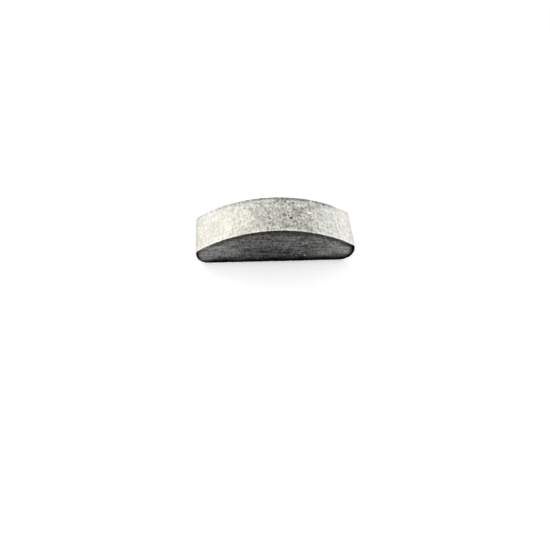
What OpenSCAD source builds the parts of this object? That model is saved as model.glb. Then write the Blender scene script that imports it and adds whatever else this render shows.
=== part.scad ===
/* [Key] */
// Length of the key along its flat
key_length = 16; // [13:0.5:17]
// Width of the key, from one drive face to the other
key_width = 5; // [3:0.5:8]
// Height of the key, from its flat to the top of its crown
key_height = 4.5; // [4.1:0.1:6]

/* [Crown] */
// Diameter of the keyseat cutter that the crown fits
crown_diameter = 27; // [25:0.5:38]
// Depth broken off the two tips, where the crown meets the ends
tip_break = 0.09; // [0.02:0.01:0.16]

/* [Corners and edges] */
// Radius of the two corners between the flat and the ends
corner_radius = 1.5; // [0.6:0.1:1.6]
// Radius that tumbling leaves on the edges all round both drive faces
edge_radius = 0.2; // [0.05:0.05:0.4]

/* [Hidden] */
$fn = 96;

half_length = key_length / 2;
half_width = key_width / 2;
// Width between the two edge radii
land_width = key_width - 2 * edge_radius;
// Distance between the centres of the two corners
corner_spread = key_length - 2 * corner_radius;

crown_radius = crown_diameter / 2;
crown_centre_z = key_height - crown_radius;

// A sharp tip leans from the crown's centre by tip_angle
tip_angle = asin(half_length / crown_radius);
tip_z = crown_centre_z + crown_radius * cos(tip_angle);

// One flatter disc under the crown breaks both tips, each along the line that halves its corner
break_angle = (90 - tip_angle) / 2;
tip_reach = half_length / cos(break_angle);
break_radius = tip_reach - tip_break;
break_centre_z = tip_z - tip_reach * sin(break_angle);

// Section across the rim: from X zero out to the rim, and across the width along Y
module rim_section(depth) {
    translate([0, -land_width / 2]) square([depth, land_width]);
    translate([0, -half_width]) square([depth - edge_radius, key_width]);
    for (side = [-1, 1])
        translate([depth - edge_radius, side * land_width / 2]) circle(edge_radius);
}

// A disc as wide as the key, turned about Y, with both edges of its rim rounded
module rimmed_disc(radius) {
    rotate([90, 0, 0]) rotate_extrude() rim_section(radius);
}

// Rim round one lower corner, a quarter turn from the flat to the end
module corner() {
    rotate([90, 0, 0]) rotate_extrude(start = 270, angle = 90) rim_section(corner_radius);
}

// Rim up one end, past the crown
module end_run() {
    linear_extrude(key_height) rim_section(corner_radius);
}

// Rim along the flat, between the two corners
module flat_run() {
    rotate([0, 90, 0]) linear_extrude(corner_spread) rim_section(corner_radius);
}

// Bar with the key's flat, corners and ends, and its top still uncut
module blank() {
    translate([-corner_spread / 2, 0, corner_radius]) flat_run();
    for (turn = [0, 180])
        rotate([0, 0, turn]) translate([corner_spread / 2, 0, corner_radius]) {
            corner();
            end_run();
        }
    translate([-corner_spread / 2, -half_width, corner_radius])
        cube([corner_spread, key_width, key_height]);
}

// Hardened steel segment, lying on its flat with the crown up
module key() {
    color("darkgray") intersection() {
        blank();
        translate([0, 0, crown_centre_z]) rimmed_disc(crown_radius);
        translate([0, 0, break_centre_z]) rimmed_disc(break_radius);
    }
}

key();
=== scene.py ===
import math

import bmesh
import bpy
from mathutils import Matrix, Quaternion, Vector, noise


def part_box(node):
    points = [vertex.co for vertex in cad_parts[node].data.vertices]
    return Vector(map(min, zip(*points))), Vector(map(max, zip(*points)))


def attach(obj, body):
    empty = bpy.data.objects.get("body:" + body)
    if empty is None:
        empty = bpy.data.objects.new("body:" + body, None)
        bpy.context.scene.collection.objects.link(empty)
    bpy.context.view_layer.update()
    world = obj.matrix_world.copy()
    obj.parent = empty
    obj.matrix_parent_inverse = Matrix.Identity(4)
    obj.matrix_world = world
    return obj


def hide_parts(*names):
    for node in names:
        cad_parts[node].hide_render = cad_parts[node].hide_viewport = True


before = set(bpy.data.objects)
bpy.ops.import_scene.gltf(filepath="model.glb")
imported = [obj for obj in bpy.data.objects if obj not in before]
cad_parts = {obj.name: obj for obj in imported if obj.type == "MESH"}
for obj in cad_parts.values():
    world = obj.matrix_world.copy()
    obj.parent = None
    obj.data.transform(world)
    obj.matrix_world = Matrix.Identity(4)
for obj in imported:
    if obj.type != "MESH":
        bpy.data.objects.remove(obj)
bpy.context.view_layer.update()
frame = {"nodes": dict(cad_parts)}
mm = 0.001
print("frame loaded, with", ", ".join(frame["nodes"]))


def directionTo(azimuth, elevation):
    # Points from the key towards a place seen at these angles, in degrees from straight in front
    azimuth = math.radians(azimuth)
    elevation = math.radians(elevation)
    return Vector((
        math.sin(azimuth) * math.cos(elevation),
        -math.cos(azimuth) * math.cos(elevation),
        math.sin(elevation),
    ))


# Camera, at the photograph's angle
cameraView = {
    "azimuth": -6.19,  # degrees, a little to the left of square on
    "elevation": 47.95,
    "roll": 3.13,  # the photograph was taken with the camera a little off level
    "distance": 72.11,  # mm, from the point that it aims at
    "aim": (0.045, -2.36, -2.114),  # mm
    "lens": 45.43,  # mm
    "frameWidth": 36,  # mm
    "nearest": 5,  # mm, closer than this nothing is seen
}


def makeCamera(settings):
    away = directionTo(settings["azimuth"], settings["elevation"])
    level = away.to_track_quat("Z", "Y")
    roll = Quaternion((0, 0, 1), math.radians(settings["roll"]))
    data = bpy.data.cameras.new("camera")
    data.lens = settings["lens"]
    data.sensor_width = settings["frameWidth"]
    data.clip_start = settings["nearest"] * mm
    camera = bpy.data.objects.new("camera", data)
    camera.location = (Vector(settings["aim"]) + away * settings["distance"]) * mm
    camera.rotation_euler = (level @ roll).to_euler()
    bpy.context.scene.collection.objects.link(camera)
    bpy.context.scene.camera = camera


makeCamera(cameraView)
print("camera set")


# The key's form, in mm
keyForm = {
    "crownRadius": 13.5,
    "crownShift": 0.22,  # this key's two ends weren't trimmed quite evenly
    "cornerRadius": {"left": 1.25, "right": 1.5},  # between the flat and the ends
    "tipRadius": 0.7,  # between the ends and the crown
    "edgeRadius": 0.2,  # left by tumbling, all along both drive faces
    "crownSteps": 1440,  # round the whole disc that the crown is cut from
    "cornerSteps": 20,
    "tipSteps": 10,
    "edgeSteps": 5,
    "margin": 0.0001,  # a point this near to a drive face is on it
    "faceSize": 0.06,  # of the small even faces that carry the wear
}

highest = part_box("key")[1] / mm
halfLength = highest.x
halfWidth = highest.y
crownCentreZ = highest.z - keyForm["crownRadius"]


def cutAway(bm, point, outward):
    # Cuts the disc flat at this point, and closes the cut
    cut = bmesh.ops.bisect_plane(
        bm, geom=bm.verts[:] + bm.edges[:] + bm.faces[:],
        plane_co=point, plane_no=outward, clear_outer=True,
    )
    rimOfCut = [e for e in cut["geom_cut"] if isinstance(e, bmesh.types.BMEdge)]
    bmesh.ops.edgeloop_fill(bm, edges=rimOfCut)


def roundOff(bm, centre, radius, side, angles, steps):
    # Rounds one corner of the outline with a fan of small cuts; angles are from level, in degrees
    first, last = angles
    for step in range(steps):
        angle = math.radians(first + (last - first) * (step + 0.5) / steps)
        outward = Vector((side * math.cos(angle), 0, math.sin(angle)))
        cutAway(bm, centre + radius * outward, outward)


def makeBlank(form):
    bm = bmesh.new()
    bmesh.ops.create_cone(
        bm, cap_ends=True, cap_tris=False, segments=form["crownSteps"],
        radius1=form["crownRadius"], radius2=form["crownRadius"], depth=2 * halfWidth,
    )
    bmesh.ops.rotate(
        bm, verts=bm.verts, cent=(0, 0, 0), matrix=Matrix.Rotation(math.radians(90), 3, "X"),
    )
    bmesh.ops.translate(bm, verts=bm.verts, vec=(form["crownShift"], 0, crownCentreZ))
    cutAway(bm, (0, 0, 0), (0, 0, -1))
    tip = form["tipRadius"]
    for side, end in ((-1, "left"), (1, "right")):
        corner = form["cornerRadius"][end]
        cutAway(bm, (side * halfLength, 0, 0), (side, 0, 0))
        cornerCentre = Vector((side * (halfLength - corner), 0, corner))
        roundOff(bm, cornerCentre, corner, side, (-90, 0), form["cornerSteps"])
        reach = halfLength - tip - side * form["crownShift"]
        rise = math.sqrt((form["crownRadius"] - tip) ** 2 - reach ** 2)
        tipCentre = Vector((side * (halfLength - tip), 0, crownCentreZ + rise))
        tipLean = math.degrees(math.atan2(rise, reach))
        roundOff(bm, tipCentre, tip, side, (0, tipLean), form["tipSteps"])
    rim = [
        e for e in bm.edges
        if all(abs(abs(v.co.y) - halfWidth) < form["margin"] for v in e.verts)
        and e.verts[0].co.y * e.verts[1].co.y > 0
    ]
    bmesh.ops.bevel(
        bm, geom=rim, offset=form["edgeRadius"], offset_type="OFFSET", segments=form["edgeSteps"],
        profile=0.5, affect="EDGES", clamp_overlap=False, material=-1,
    )
    bmesh.ops.recalc_face_normals(bm, faces=bm.faces)
    return bm


def evenFaces(bm, size):
    # Small even faces all over, so that wear can be worked into any part of the surface
    rough = bpy.data.meshes.new("rough")
    bm.to_mesh(rough)
    bm.free()
    holder = bpy.data.objects.new("holder", rough)
    bpy.context.scene.collection.objects.link(holder)
    remesh = holder.modifiers.new("remesh", "REMESH")
    remesh.mode = "VOXEL"
    remesh.voxel_size = size
    evaluated = holder.evaluated_get(bpy.context.evaluated_depsgraph_get())
    fine = bpy.data.meshes.new_from_object(evaluated)
    bpy.data.objects.remove(holder)
    bpy.data.meshes.remove(rough)
    return fine


keyMesh = evenFaces(makeBlank(keyForm), keyForm["faceSize"])
keyMesh.name = "keySteel"
print("key formed,", len(keyMesh.polygons), "faces")


# Wear and oxide over the key, in mm, with painted light and shade laid in among them. "Past" is how far a
# point lies over the middle of the nearest edge:
# above 0 on a drive face, below 0 on the rim
keyWearAndLight = {
    "dentDepth": 0.012,  # shallow tumbling dents all over the rim
    "grainDepth": 0.005,  # grain of the rim
    "rimFade": (-0.12, 0.1),  # past the edge, where these two fade out
    "waveDepth": 0.006,  # long rolling marks on the drive faces
    "nickDepth": 0.05,  # nicks along the four long edges
    "nickFrom": (0.2, 0.3),  # noise over which a nick begins, for the large ones and the fine ones
    "fineNickShare": 0.6,
    "edgeReach": 0.14,  # of nicks and rubbing to both sides of an edge
    "rubDepth": 0.1,  # rubbed off the middle of the back edge of the crown
    "rubReach": 3.5,
    "crownFrom": 2,  # height over which the rim counts as crown
    "oxideStart": {"front": 0.022, "back": -0.05},  # past the edge, where bare metal ends
    "oxideRise": 0.045,  # of the front oxide towards the ends, over their edges
    "riseSpread": (4, 7),  # from the middle, where it begins to rise and where it is highest
    "oxideFade": 0.04,
    "oxideRagged": 0.05,
    "fineRaggedShare": 0.5,
    "backEdgeDark": {  # a dark band from the back edge on to the rim, in the oxide's colour
        "width": 0.64,
        "fullWidth": 0.6,  # share of the width where it is full
        "share": 0.74,
        "heart": 2.2,  # place along the key where it is strongest
        "farLoss": 0.33,  # lost to both sides of it, all of it at farReach
        "farReach": 8,
        "endLoss": 0.6,  # share lost at both ends
        "ends": (5.4, 6.8),
        "patchShare": 0.5,
        "holes": (0.22, 0.4),  # noise over which bare metal shows through, and where it is quite bare
    },
    "line": {  # the painted highlight along the front edge, where its rounding would catch the light
        "inset": 0.08,  # on to the rim
        "width": 0.15,
        "share": (0.12, 0.85),  # in the middle and at the ends
        "spread": (2.5, 6.8),  # from the middle, where it begins to grow and where it is full
    },
    "edgeShadeAndScale": {  # black band round each drive face: painted shade for the dark that its rounded edges reflect and, along the flat, for the contact shadow, laid in as heavy black scale; full to the first depth, gone by the second
        "crownBand": (0.25, 0.68),  # inside the crown
        "cornerBand": (0.26, 0.7),  # inside the corners and ends
        "flatBand": (0.32, 1.3),  # above the flat
        "uneven": 0.2,
        "cornerUneven": 0.06,
        "crownShare": 0.65,
        "middle": (0.7, 1, 3.2),  # place along the key, how far it is full, and how far it reaches
        "middleGain": 0.07,
        "middleWider": 0.15,
        "leftEnd": (5.9, 6.9),
        "leftLoss": {"crown": 0.2, "flat": 0.25, "corner": 0.12},
        "rightEnd": (5.5, 7.5),
        "rightGain": 0.17,
    },
    "leastEndLight": 1.2,  # along the rim, the place with the least painted light; the rim is painted lighter towards its ends for the light that falls there
    "rimEndLight": (0.5, 6.5),  # from there, where the painted lighter ends begin and where they are full
    # share of the painted light on the rim's ends
    "rimEndLightShare": 0.68,
    "faceEndLight": (2.3, 8),  # from the middle, the same painted lighter ends on the drive faces
    "pits": (  # place along and across the crown, radius, depth
        (1.53, -0.69, 0.2, 0.06),
        (-0.55, -0.75, 0.12, 0.035),
        (-3.03, 1.17, 0.1, 0.02),
        (5.09, 2.02, 0.12, 0.02),
    ),
    "pitRagged": 0.5,
    "pitScale": 0.9,
    "smudges": (  # soft dark stains on the crown: place along and across, radius, share
        (2.4, 0.3, 0.6, 0.42),
        (-1.72, -0.5, 0.45, 0.35),
        (0.7, -1.45, 0.8, 0.26),
        (3.1, -1.95, 0.75, 0.5),
        (2.5, -0.9, 0.45, 0.24),
        (-1.4, -1.2, 0.8, 0.18),
        (1.2, -1, 0.5, 0.2),
        (1.5, -1.3, 1.6, 0.12),
        (4.5, 1.5, 0.8, 0.32),
        (-2.7, 2, 0.5, 0.42),
        (-4.6, 1.9, 1.4, 0.1),
        (-6.2, -0.8, 1.2, 0.08),
    ),
    "faceDarkPatches": (  # dark patches on the front drive face, the large one over its lower half: place along and up, half length, half height, share
        (-0.8, 1.35, 2.7, 1.4, 0.55),
        (0.5, 3.3, 1.3, 0.6, 0.26),
    ),
    "faceDarkStreaks": 0.6,
    "scuffs": (  # bright marks on the crown: place along and across, half length, half width, turn, share
        (3.52, 0.3, 0.34, 0.1, 20, 1),
        (1.9, -1.48, 0.2, 0.07, 80, 1),
        (2.49, 1.17, 0.26, 0.06, -55, 1),
        (1.44, 1.63, 0.22, 0.06, -60, 1),
        (0, -0.65, 0.6, 0.45, 90, 0.22),
    ),
    "specks": (  # bright chips on the front drive face: place along and up, radius
        (2.94, 0.92, 0.1),
        (-2.59, 0.36, 0.06),
    ),
    "specksFrom": 0.3,  # past the edge
    "noises": {  # waves per mm along, across and up the key, and a seed
        "dent": (1.7, 1.2, 1.7, 1),
        "grain": (6, 2.6, 6, 2),
        "wave": (0.4, 1, 5, 3),
        "nick": (2.1, 2, 2.1, 4),
        "fineNick": (6, 1, 6, 5),
        "ragged": (3, 1, 3, 6),
        "fineRagged": (9, 1, 9, 7),
        "backEdgePatch": (2.4, 3, 2.4, 8),
        "backEdgeHole": (4.5, 0, 4.5, 9),
        "uneven": (0.9, 1, 2.5, 10),
        "faceDarkStreak": (0.7, 0, 6, 11),
        "pit": (5, 5, 0, 12),
    },
}
seedStep = (17.3, -9.1, 5.7)  # how far apart two seeds lie in the noise
wearAndLightShares = ("oxide", "scuffsAndEdgeHighlight", "edgeShadeAndScale", "paintedEndLight")  # kept on the surface's points for the material


def noiseAt(name, x, y, z):
    *waves, seed = keyWearAndLight["noises"][name]
    return noise.noise(Vector([
        value * wave + step * seed for value, wave, step in zip((x, y, z), waves, seedStep)
    ]))


def ease(value, low, high):
    t = min(max((value - low) / (high - low), 0), 1)
    return t * t * (3 - 2 * t)


def spotShare(dx, dy, radius, core):
    # 1 over the core, a share of the radius, and fading to 0 a quarter beyond the radius
    return 1 - ease(math.hypot(dx, dy), core * radius, 1.25 * radius)


def outlineDepths(x, z):
    # How far a point lies inside the crown, and inside the flat, corners and ends, seen square on
    corner = keyForm["cornerRadius"]["left" if x < 0 else "right"]
    crown = keyForm["crownRadius"] - math.hypot(x - keyForm["crownShift"], z - crownCentreZ)
    return crown, corner - math.hypot(max(abs(x) - halfLength + corner, 0), max(corner - z, 0))


def wearDepth(x, y, z, side, past, wearAndLight):
    # How deep dents, grain, rolling marks, nicks and rubbing go
    onRim = 1 - ease(past, *wearAndLight["rimFade"])
    onEdge = math.exp(-((past / wearAndLight["edgeReach"]) ** 2))
    dent = 0.5 + 0.5 * noiseAt("dent", x, y, z)
    nickFrom, fineNickFrom = wearAndLight["nickFrom"]
    nick = max(noiseAt("nick", x, side, z) - nickFrom, 0)
    nick += wearAndLight["fineNickShare"] * max(noiseAt("fineNick", x, side, z) - fineNickFrom, 0)
    depth = onRim * (wearAndLight["dentDepth"] * dent + wearAndLight["grainDepth"] * (1 + noiseAt("grain", x, y, z)))
    depth += (1 - onRim) * wearAndLight["waveDepth"] * (1 + noiseAt("wave", x, side, z))
    depth += onEdge * wearAndLight["nickDepth"] * nick
    if side > 0 and z > wearAndLight["crownFrom"]:
        depth += onEdge * wearAndLight["rubDepth"] * math.exp(-((x / wearAndLight["rubReach"]) ** 2))
    return depth


def backEdgeDarkShare(x, z, past, start, backEdgeDark):
    share = backEdgeDark["share"] - backEdgeDark["farLoss"] * ease(abs(x - backEdgeDark["heart"]), 0, backEdgeDark["farReach"])
    share *= 1 - backEdgeDark["endLoss"] * ease(abs(x), *backEdgeDark["ends"])
    share += backEdgeDark["patchShare"] * noiseAt("backEdgePatch", x, past, z)
    share *= 1 - ease(noiseAt("backEdgeHole", x, 0, z), *backEdgeDark["holes"])
    fade = 1 - ease(start - past, backEdgeDark["fullWidth"] * backEdgeDark["width"], backEdgeDark["width"])
    return max(share, 0) * fade


# Painted shade, laid in as scale: the black band inside a drive face's crown, flat, corners and ends
def edgeShadeAndScaleShare(x, z, side, crown, low, edgeShadeAndScale):
    centre, near, far = edgeShadeAndScale["middle"]
    middle = 1 - ease(abs(x - centre), near, far)
    leftEnd = ease(-x, *edgeShadeAndScale["leftEnd"])
    loss = edgeShadeAndScale["leftLoss"]
    crownShare = edgeShadeAndScale["crownShare"] + edgeShadeAndScale["middleGain"] * middle - loss["crown"] * leftEnd
    crownShare += edgeShadeAndScale["rightGain"] * ease(x, *edgeShadeAndScale["rightEnd"])
    uneven = noiseAt("uneven", x, side, z)
    bands = (
        crownShare * (1 - ease(crown - edgeShadeAndScale["middleWider"] * middle, *edgeShadeAndScale["crownBand"])),
        1 - ease(z + edgeShadeAndScale["uneven"] * uneven + loss["flat"] * leftEnd, *edgeShadeAndScale["flatBand"]),
        1 - ease(low + edgeShadeAndScale["cornerUneven"] * uneven + loss["corner"] * leftEnd, *edgeShadeAndScale["cornerBand"]),
    )
    return 1 - math.prod(1 - band for band in bands)


def wearAndLightAt(co, wearAndLight):
    # Gives how deep the surface is worn here, and then the shares of wear and of painted light in their
    # order
    x, y, z = co
    crown, low = outlineDepths(x, z)
    side = math.copysign(1, y)
    past = max(min(crown, low), 0) - max(halfWidth - abs(y), 0)
    depth = wearDepth(x, y, z, side, past, wearAndLight)

    start = wearAndLight["oxideStart"]["front" if side < 0 else "back"]
    if side < 0:
        start -= wearAndLight["oxideRise"] * ease(abs(x), *wearAndLight["riseSpread"])
    ragged = noiseAt("ragged", x, side, z) + wearAndLight["fineRaggedShare"] * noiseAt("fineRagged", x, side, z)
    ragged *= wearAndLight["oxideRagged"]
    oxide = ease(past + ragged, start - wearAndLight["oxideFade"], start + wearAndLight["oxideFade"])
    scuffsAndEdgeHighlight = 0
    if side < 0:
        line = wearAndLight["line"]
        middleShare, endShare = line["share"]
        share = middleShare + (endShare - middleShare) * ease(abs(x), *line["spread"])
        # painted highlight: a bright line along the front edge, stronger towards the ends
        scuffsAndEdgeHighlight = share * math.exp(-(((past + line["inset"]) / line["width"]) ** 2)) * (1 - oxide)
    elif past < start:
        oxide = max(oxide, backEdgeDarkShare(x, z, past, start, wearAndLight["backEdgeDark"]))
    edgeShadeAndScale = 0
    if past > start:
        # painted shade: the black band round the drive face, darkest along the flat
        edgeShadeAndScale = oxide * edgeShadeAndScaleShare(x, z, side, crown, low, wearAndLight["edgeShadeAndScale"])
        # painted light: the drive faces grow lighter towards their ends
        paintedEndLight = ease(abs(x), *wearAndLight["faceEndLight"])
        if side < 0:
            streaky = 1 + wearAndLight["faceDarkStreaks"] * noiseAt("faceDarkStreak", x, 0, z)
            for px, pz, longHalf, shortHalf, share in wearAndLight["faceDarkPatches"]:
                spread = spotShare((x - px) / longHalf, (z - pz) / shortHalf, 1, 0)
                edgeShadeAndScale = max(edgeShadeAndScale, share * streaky * spread)
    else:
        # painted light: the rim grows lighter towards its ends, away from its least lit place
        paintedEndLight = wearAndLight["rimEndLightShare"] * ease(abs(x - wearAndLight["leastEndLight"]), *wearAndLight["rimEndLight"])

    if z > wearAndLight["crownFrom"] and past < 0:
        raggedPit = 1 + wearAndLight["pitRagged"] * noiseAt("pit", x, y, z)
        for px, py, radius, pitDepth in wearAndLight["pits"]:
            share = spotShare(x - px, y - py, radius * raggedPit, 0.5)
            depth += pitDepth * share
            edgeShadeAndScale = max(edgeShadeAndScale, wearAndLight["pitScale"] * share)
        for px, py, radius, share in wearAndLight["smudges"]:
            oxide = max(oxide, share * spotShare(x - px, y - py, radius, 0))
        for px, py, longHalf, shortHalf, turn, share in wearAndLight["scuffs"]:
            c = math.cos(math.radians(turn))
            s = math.sin(math.radians(turn))
            along = ((x - px) * c + (y - py) * s) / longHalf
            across = ((y - py) * c - (x - px) * s) / shortHalf
            scuffsAndEdgeHighlight = max(scuffsAndEdgeHighlight, share * spotShare(along, across, 1, 0.5))
    if side < 0 and past > wearAndLight["specksFrom"]:
        for px, pz, radius in wearAndLight["specks"]:
            share = spotShare(x - px, z - pz, radius, 0.5)
            oxide *= 1 - share
            scuffsAndEdgeHighlight = max(scuffsAndEdgeHighlight, share)
    return depth, oxide, scuffsAndEdgeHighlight, edgeShadeAndScale, paintedEndLight


def wearDown(mesh, wearAndLight):
    # Works the wear into the surface and keeps the shares of wear and of painted light
    shares = [mesh.attributes.new(name, "FLOAT", "POINT") for name in wearAndLightShares]
    moves = []
    for v in mesh.vertices:
        depth, *amounts = wearAndLightAt(v.co, wearAndLight)
        moves.append(v.normal * depth)
        for share, amount in zip(shares, amounts):
            share.data[v.index].value = amount
    for v, move in zip(mesh.vertices, moves):
        v.co = v.co - move


wearDown(keyMesh, keyWearAndLight)
for v in keyMesh.vertices:
    v.co = v.co * mm
for p in keyMesh.polygons:
    p.use_smooth = True
key = bpy.data.objects.new("keySteel", keyMesh)
bpy.context.scene.collection.objects.link(key)
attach(key, "root")
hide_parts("key")
print("key worn")


def linearColour(hexColour):
    parts = [int(hexColour[i:i + 2], 16) / 255 for i in (1, 3, 5)]
    return [p / 12.92 if p <= 0.04045 else ((p + 0.055) / 1.055) ** 2.4 for p in parts] + [1]


def addNode(tree, kind, inputs=None, **settings):
    node = tree.nodes.new("ShaderNode" + kind)
    for name, value in settings.items():
        setattr(node, name, value)
    for socket, value in (inputs or {}).items():
        if isinstance(value, bpy.types.NodeSocket):
            tree.links.new(value, node.inputs[socket])
        else:
            node.inputs[socket].default_value = value
    return node


# Hardened carbon steel, tumbled bright on the rim and oxidised on its rolled faces: a satin,
# slightly warm grey metal full of fine flecks, and a dull grey-black skin that the edges break through.
# Painted light and shade are laid into its colour too: lighter ends, a highlight along the front edge, and
# a black band of shade round the drive faces
tumbledSteel = {
    "colours": {
        "bright": "#D6D5CC",  # the rim's lighter flecks
        "grey": "#7E7D76",  # the rim between them
        "rimEndLight": "#CFCDC4",  # the rim's ends, painted lighter for the light that falls on them
        # near white of the bright scuffs and chips, and of the painted highlight along the front edge
        "scuffAndHighlightWhite": "#F4F3ED",
        "oxideDark": "#333333",
        "oxideFleck": "#787776",
        "endLitOxideDark": "#61615F",  # both again at the ends, painted lighter there for the light that falls on them
        "endLitOxideFleck": "#9C9C9A",
        # near black of the scale and of the painted shade round the drive faces
        "darkOfScaleAndShade": "#0C0B0B",
        "fleckOfScaleAndShade": "#222120",
        "rimScratch": "#E6E5DE",
        "oxideScratch": "#8B8A86",
        "straw": "#CFC1A8",  # the two temper tints, laid over the steel very thinly
        "blue": "#A8BACF",
        "white": "#FFFFFF",
    },
    "patterns": {  # size in mm, detail, how many times longer along, across and up the key, and its turn
        "fleck": (0.2, 6, (1, 1.67, 1), (0, 0, 0)),  # flecks lie across the width of the rim
        "patch": (0.55, 1, (1, 1, 1), (0, 0, 0)),  # soft patches that tumbling has brightened more or less
        "skinGrain": (0.2, 6, (1, 1, 1), (0, 0, 0)),
        "streak": (0.3, 4, (7.7, 1, 1), (0, 0, 0)),  # faint rolling streaks of the drive faces
        "tint": (0.28, 5, (1, 1, 1), (0, 0, 0)),
        # Grinding lines, across the rim and along the faces. Real ones lie about 0.02 mm apart, too fine
        # to show, so these are as coarse as they need to be
        "rimLine": (0.09, 2, (1, 20, 1), (0, 0, 0)),
        "faceLine": (0.09, 2, (20, 1, 1), (0, 0, 0)),
        # Loose scratches of tumbling, lying two ways, and drawn coarser than real ones for the same reason
        "scratch": (0.14, 1, (1, 30, 1), (0.4, 0.7, 0.6)),
        "crossScratch": (0.14, 1, (1, 30, 1), (-0.35, 0.6, 2.5)),
    },
    "patternRoughness": 0.66,
    "blends": {  # two patterns and the share of the second
        "rimGrain": ("fleck", "patch", 0.4),
        "faceGrain": ("skinGrain", "streak", 0.38),
        "line": ("rimLine", "faceLine", "oxide"),
    },
    "ranges": {  # a pattern or share, the range of it that counts, and what that becomes
        "fleckShare": ("rimGrain", (0.41, 0.59), (0, 1)),
        "skinShare": ("faceGrain", (0.43, 0.59), (0, 1)),
        "lineShade": ("line", (0.32, 0.68), (0, 1)),
        "blueShare": ("tint", (0.38, 0.62), (0, 1)),
        "scratches": ("scratch", (0.6, 0.72), (0, 1)),
        "crossScratches": ("crossScratch", (0.6, 0.72), (0, 1)),
        "lineShare": ("oxide", (0, 1), (0.15, 0.28)),  # weaker on the rim than on the oxide
        "tintShare": ("oxide", (0, 1), (0.25, 0.48)),
        "rimRoughness": ("fleck", (0.3, 0.7), (0.56, 0.38)),  # bright flecks are the smoother ones
    },
    "coats": (  # laid over one another: name, share, what lies under, what goes over, and how they mix
        ("rim", "fleckShare", "grey", "bright", "MIX"),
        # painted light: lighter copies of the rim and of the skin at the ends
        ("endLitRim", "paintedEndLight", "rim", "rimEndLight", "MIX"),
        ("scuffedHighlitRim", "scuffsAndEdgeHighlight", "endLitRim", "scuffAndHighlightWhite", "MIX"),
        ("darkSkin", "paintedEndLight", "oxideDark", "endLitOxideDark", "MIX"),
        ("lightSkin", "paintedEndLight", "oxideFleck", "endLitOxideFleck", "MIX"),
        ("skin", "skinShare", "darkSkin", "lightSkin", "MIX"),
        ("steel", "oxide", "scuffedHighlitRim", "skin", "MIX"),
        ("linedSteel", "lineShare", "steel", "lineShade", "OVERLAY"),
        ("scratchColour", "oxide", "rimScratch", "oxideScratch", "MIX"),
        ("scratchedSteel", "scratchShare", "linedSteel", "scratchColour", "MIX"),
        ("tintColour", "blueShare", "straw", "blue", "MIX"),
        ("tintedSteel", "tintShare", "scratchedSteel", "tintColour", "OVERLAY"),
        ("colourOfScaleAndShade", "skinShare", "darkOfScaleAndShade", "fleckOfScaleAndShade", "MIX"),
        ("steelWithPaintedLight", "edgeShadeAndScale", "tintedSteel", "colourOfScaleAndShade", "MIX"),
        ("glance", "edgeShadeAndScale", "white", "fleckOfScaleAndShade", "MIX"),  # the scale and the painted shade stay dark at a glancing angle too
    ),
    "scratchShare": 0.5,
    "oxideRoughness": 0.55,
    "bump": 0.35,
    "bumpDepth": 0.012,  # mm
}


def makeTumbledSteel(steel):
    material = bpy.data.materials.new("tumbledSteel")
    material.use_nodes = True
    tree = material.node_tree
    tree.nodes.clear()
    place = addNode(tree, "TexCoord").outputs["Object"]

    # Everything that the coats are made of, by name
    made = {name: linearColour(colour) for name, colour in steel["colours"].items()}
    for name in wearAndLightShares:
        made[name] = addNode(tree, "Attribute", attribute_name=name).outputs["Fac"]
    for name, (size, detail, stretch, turn) in steel["patterns"].items():
        turned = addNode(tree, "Mapping", {
            "Vector": place, "Rotation": turn, "Scale": [size * mm * times for times in stretch],
        }, vector_type="TEXTURE")
        made[name] = addNode(tree, "TexNoise", {
            "Vector": turned.outputs["Vector"], "Scale": 1.0, "Detail": detail,
            "Roughness": steel["patternRoughness"],
        }).outputs["Fac"]
    # Mix takes its share at socket 0, two numbers at 2 and 3, and two colours at 6 and 7
    for name, (first, second, share) in steel["blends"].items():
        made[name] = addNode(tree, "Mix", {
            0: made.get(share, share), 2: made[first], 3: made[second],
        }).outputs[0]
    for name, (source, (low, high), (start, end)) in steel["ranges"].items():
        made[name] = addNode(tree, "MapRange", {
            "Value": made[source], "From Min": low, "From Max": high, "To Min": start, "To Max": end,
        }).outputs["Result"]
    made["allScratches"] = addNode(tree, "Math", {
        0: made["scratches"], 1: made["crossScratches"],
    }, operation="MAXIMUM").outputs[0]
    made["scratchShare"] = addNode(tree, "Math", {
        0: made["allScratches"], 1: steel["scratchShare"],
    }, operation="MULTIPLY").outputs[0]
    for name, share, under, over, blend in steel["coats"]:
        made[name] = addNode(tree, "Mix", {
            0: made[share], 6: made[under], 7: made[over],
        }, data_type="RGBA", blend_type=blend).outputs[2]

    roughness = addNode(tree, "Mix", {
        0: made["oxide"], 2: made["rimRoughness"], 3: steel["oxideRoughness"],
    }).outputs[0]
    height = addNode(tree, "Math", {
        0: made["fleck"], 1: made["lineShade"], 2: made["allScratches"],
    }, operation="MULTIPLY_ADD").outputs[0]
    bump = addNode(tree, "Bump", {
        "Height": height, "Strength": steel["bump"], "Distance": steel["bumpDepth"] * mm,
    }).outputs["Normal"]
    shader = addNode(tree, "BsdfPrincipled", {
        "Base Color": made["steelWithPaintedLight"], "Metallic": 1.0, "Roughness": roughness,
        "Specular Tint": made["glance"], "Normal": bump,
    })
    addNode(tree, "OutputMaterial", {"Surface": shader.outputs["BSDF"]})
    return material


keyMesh.materials.append(makeTumbledSteel(tumbledSteel))
print("steel finished")


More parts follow.
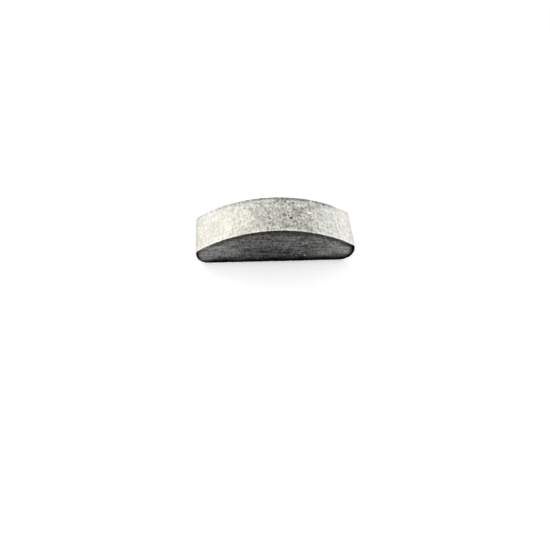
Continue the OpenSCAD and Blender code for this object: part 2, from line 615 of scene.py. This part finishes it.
# Studio: a white floor, a white surround, a broad soft lamp above the camera, and two lower ones behind
studio = {
    "floorHalf": 1.0,  # m
    "floorShade": 0.85,  # of the white card, for the light that it throws back
    "floorSeen": 1.44,  # of the same card where it is looked at, which gives the photograph's white
    # Distances in mm from the key's middle, where the card's shading begins to fade and where it has gone
    "plainWhite": (22, 70),
    "surround": 0.46,  # strength of the light from the surround; it looks white at 1
    "lamps": (  # azimuth from the front and height in degrees, distance and size in mm, power in W
        {
            "azimuth": -6, "elevation": 62, "distance": 400, "size": (560, 560),
            "power": 0.8, "colour": "#FFFFFF",
        },
        {
            "azimuth": 216, "elevation": 25, "distance": 300, "size": (240, 190),
            "power": 0.158, "colour": "#FFFCFD",
        },
        {
            "azimuth": 136, "elevation": 13, "distance": 300, "size": (180, 120),
            "power": 0.078, "colour": "#EEF0FF",
        },
    ),
}


def seenShare(tree):
    # 1 where the camera, or gloss or glass in view, looks at it, and 0 for light that falls on things
    rays = addNode(tree, "LightPath")
    gloss = addNode(tree, "Math", {
        0: rays.outputs["Is Glossy Ray"], 1: rays.outputs["Is Transmission Ray"],
    }, operation="ADD").outputs[0]
    return addNode(tree, "Math", {
        0: rays.outputs["Is Camera Ray"], 1: gloss,
    }, operation="ADD", use_clamp=True).outputs[0]


def makeFloor(settings):
    bm = bmesh.new()
    bmesh.ops.create_grid(bm, x_segments=1, y_segments=1, size=settings["floorHalf"])
    mesh = bpy.data.meshes.new("floor")
    bm.to_mesh(mesh)
    bm.free()
    floor = bpy.data.objects.new("floor", mesh)
    bpy.context.scene.collection.objects.link(floor)
    # Matt white card
    material = bpy.data.materials.new("whiteCard")
    material.use_nodes = True
    tree = material.node_tree
    tree.nodes.clear()
    shade = addNode(tree, "MapRange", {
        "Value": seenShare(tree), "To Min": settings["floorShade"], "To Max": settings["floorSeen"],
    }).outputs["Result"]
    card = addNode(tree, "BsdfDiffuse", {"Color": shade}).outputs["BSDF"]
    # Away from the key's shadow the card is seen plain white, out to the horizon
    plainWhite = addNode(tree, "Emission", {"Color": (1, 1, 1, 1), "Strength": 1.0}).outputs["Emission"]
    place = addNode(tree, "TexCoord").outputs["Object"]
    reach = addNode(tree, "VectorMath", {0: place}, operation="LENGTH").outputs["Value"]
    whiteFrom, whiteAt = settings["plainWhite"]
    away = addNode(tree, "MapRange", {
        "Value": reach, "From Min": whiteFrom * mm, "From Max": whiteAt * mm,
    }, interpolation_type="SMOOTHSTEP").outputs["Result"]
    share = addNode(tree, "Math", {0: away, 1: seenShare(tree)}, operation="MULTIPLY").outputs[0]
    shader = addNode(tree, "MixShader", {0: share, 1: card, 2: plainWhite}).outputs["Shader"]
    addNode(tree, "OutputMaterial", {"Surface": shader})
    mesh.materials.append(material)


def makeSurround(settings):
    world = bpy.data.worlds.new("surround")
    bpy.context.scene.world = world
    world.use_nodes = True
    tree = world.node_tree
    tree.nodes.clear()
    strength = addNode(tree, "MapRange", {
        "Value": seenShare(tree), "To Min": settings["surround"], "To Max": 1.0,
    }).outputs["Result"]
    background = addNode(tree, "Background", {"Color": (1, 1, 1, 1), "Strength": strength})
    addNode(tree, "OutputWorld", {"Surface": background.outputs["Background"]})


def makeLamps(settings):
    for number, lamp in enumerate(settings["lamps"], 1):
        away = directionTo(lamp["azimuth"], lamp["elevation"])
        data = bpy.data.lights.new(f"softLamp{number}", "AREA")
        data.shape = "RECTANGLE"
        data.size, data.size_y = (side * mm for side in lamp["size"])
        data.energy = lamp["power"]
        data.color = linearColour(lamp["colour"])[:3]
        holder = bpy.data.objects.new(data.name, data)
        holder.location = away * lamp["distance"] * mm
        holder.rotation_euler = away.to_track_quat("Z", "Y").to_euler()
        holder.visible_camera = False
        bpy.context.scene.collection.objects.link(holder)


makeFloor(studio)
makeSurround(studio)
makeLamps(studio)
bpy.context.scene.view_settings.view_transform = "Standard"
print("studio lit")

bpy.context.view_layer.update()
